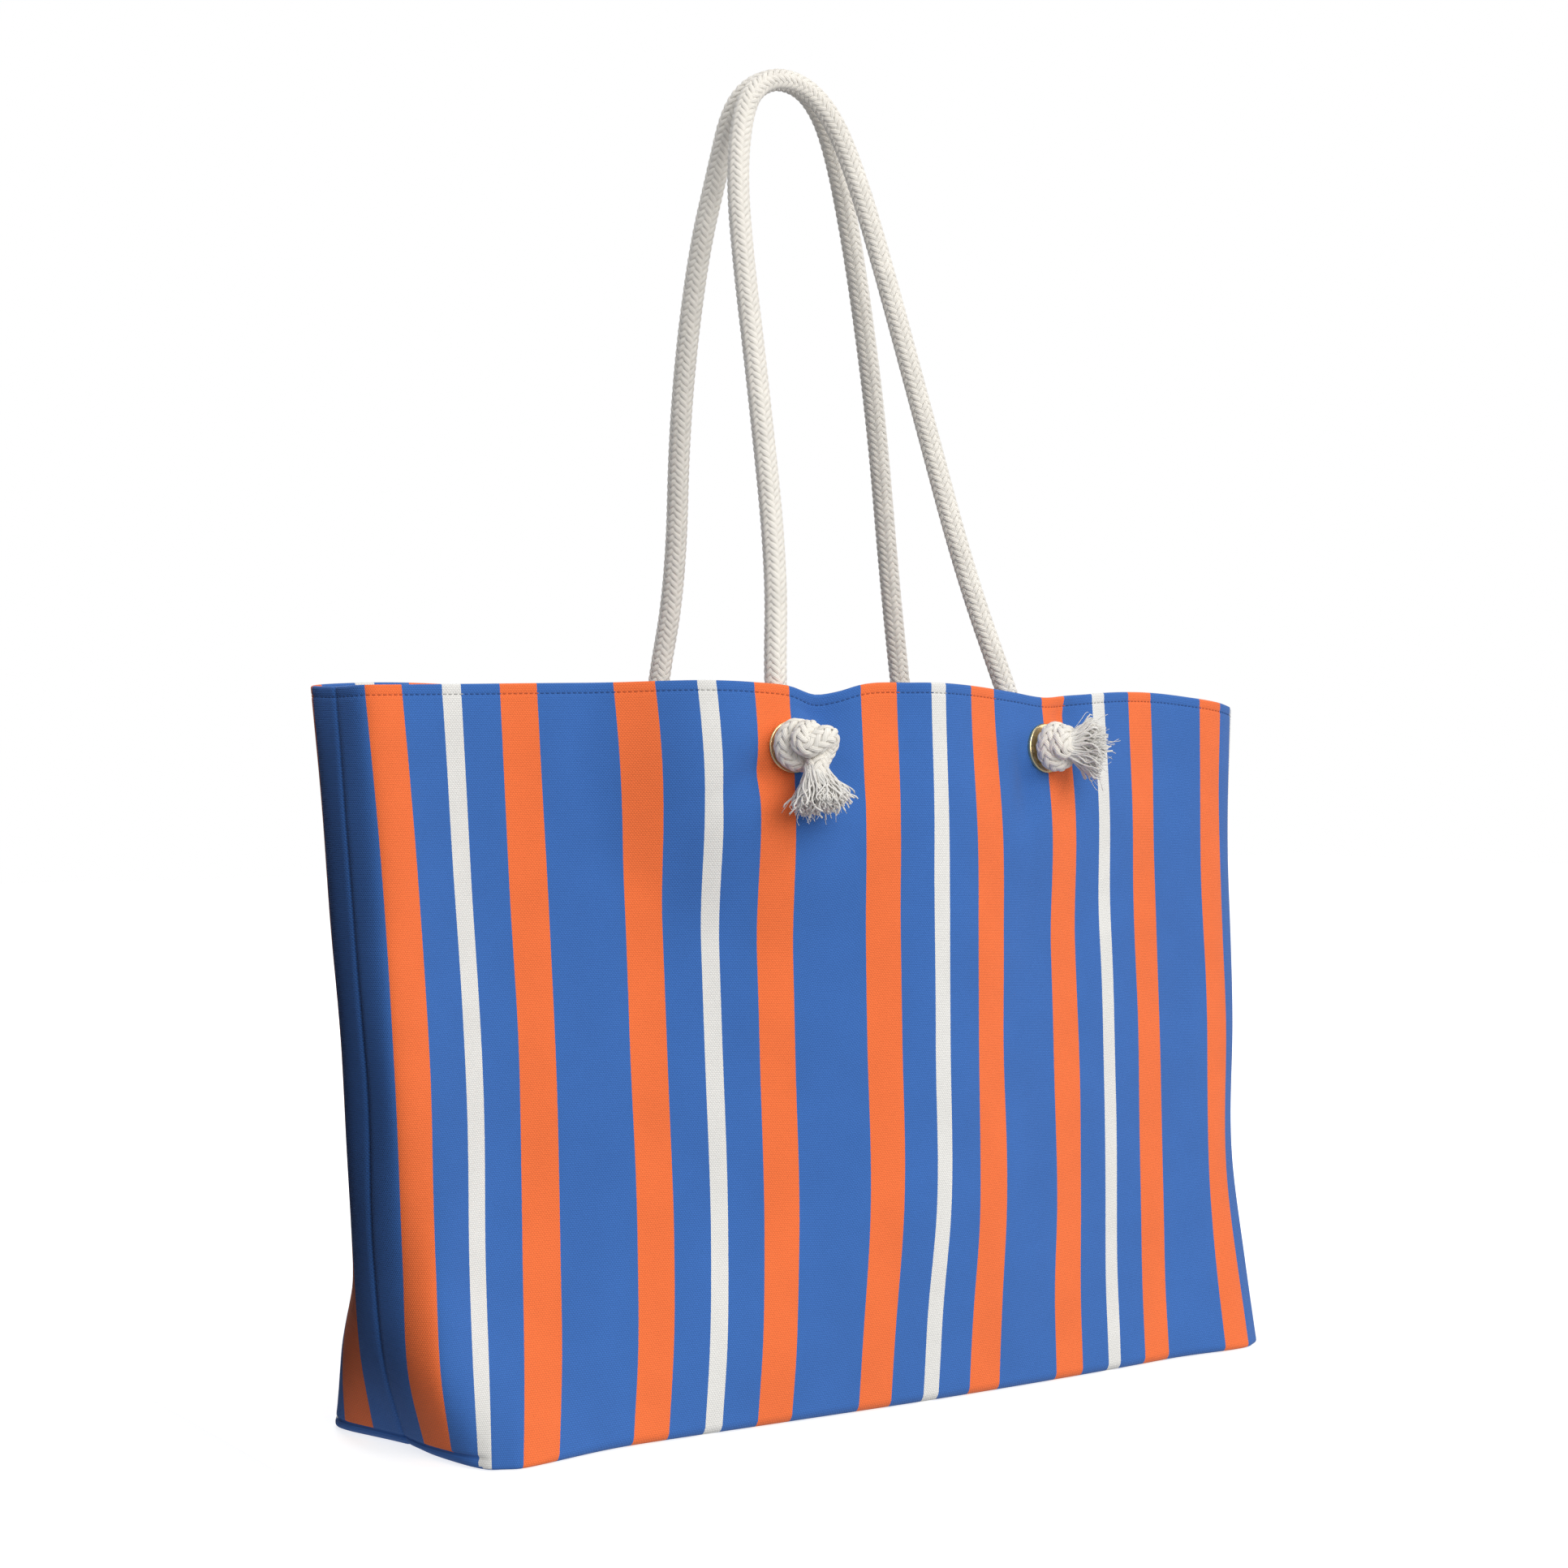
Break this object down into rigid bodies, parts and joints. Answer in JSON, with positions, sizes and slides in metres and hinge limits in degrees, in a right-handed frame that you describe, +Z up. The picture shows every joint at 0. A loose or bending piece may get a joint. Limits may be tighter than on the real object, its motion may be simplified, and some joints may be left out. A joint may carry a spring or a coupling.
{
  "type": "beach tote bag",
  "caption": "Large open-topped beach tote with a striped canvas body, boxed bottom, lining with a slip pocket, brass grommets and knotted braided rope handles.",
  "frame": {"origin": "bottom centre of the bag's box, on the surface it stands on", "axes": "+X along the front panel to the right, -Y out of the front panel, +Z up"},
  "size_m": [0.5244, 0.224, 0.6518],
  "materials": {
    "canvas": "woven canvas printed with blue, orange and white stripes",
    "lining": "plain off-white lining cloth",
    "thread": "blue sewing thread",
    "rope": "natural braided cotton rope",
    "brass": "polished brass plating"
  },
  "bodies": {
    "bag": {"bottom_seam_left": "canvas", "bottom_seam_right": "canvas", "canvas_back_panel": "canvas", "canvas_bottom_panel": "canvas", "canvas_front_panel": "canvas", "canvas_left_gusset": "canvas", "canvas_right_gusset": "canvas", "frayed_end_back_left": "rope", "frayed_end_back_right": "rope", "frayed_end_front_left": "rope", "frayed_end_front_right": "rope", "grommet_back_left": "brass", "grommet_back_right": "brass", "grommet_front_left": "brass", "grommet_front_right": "brass", "grommet_washer_back_left": "brass", "grommet_washer_back_right": "brass", "grommet_washer_front_left": "brass", "grommet_washer_front_right": "brass", "inner_pocket": "lining", "inner_pocket_hem": "lining", "knot_back_left": "rope", "knot_back_right": "rope", "knot_front_left": "rope", "knot_front_right": "rope", "lining": "lining", "lower_rope_back_left": "rope", "lower_rope_back_right": "rope", "lower_rope_front_left": "rope", "lower_rope_front_right": "rope", "rim_facing_back": "canvas", "rim_facing_front": "canvas", "rim_facing_left": "canvas", "rim_facing_right": "canvas", "rim_topstitch": "thread", "side_seam_left": "canvas", "side_seam_right": "canvas"},
    "front_handle": {"handle_rope_front": "rope"},
    "back_handle": {"handle_rope_back": "rope"}
  },
  "joints": [
    {"name": "front_handle_swing", "type": "hinge", "parent": "bag", "child": "front_handle", "pos_m": [0, -0.053, 0.34], "axis": [1, 0, 0], "range_deg": [0, 115]},
    {"name": "back_handle_swing", "type": "hinge", "parent": "bag", "child": "back_handle", "pos_m": [0, 0.076, 0.34], "axis": [-1, 0, 0], "range_deg": [0, 115]}
  ]
}
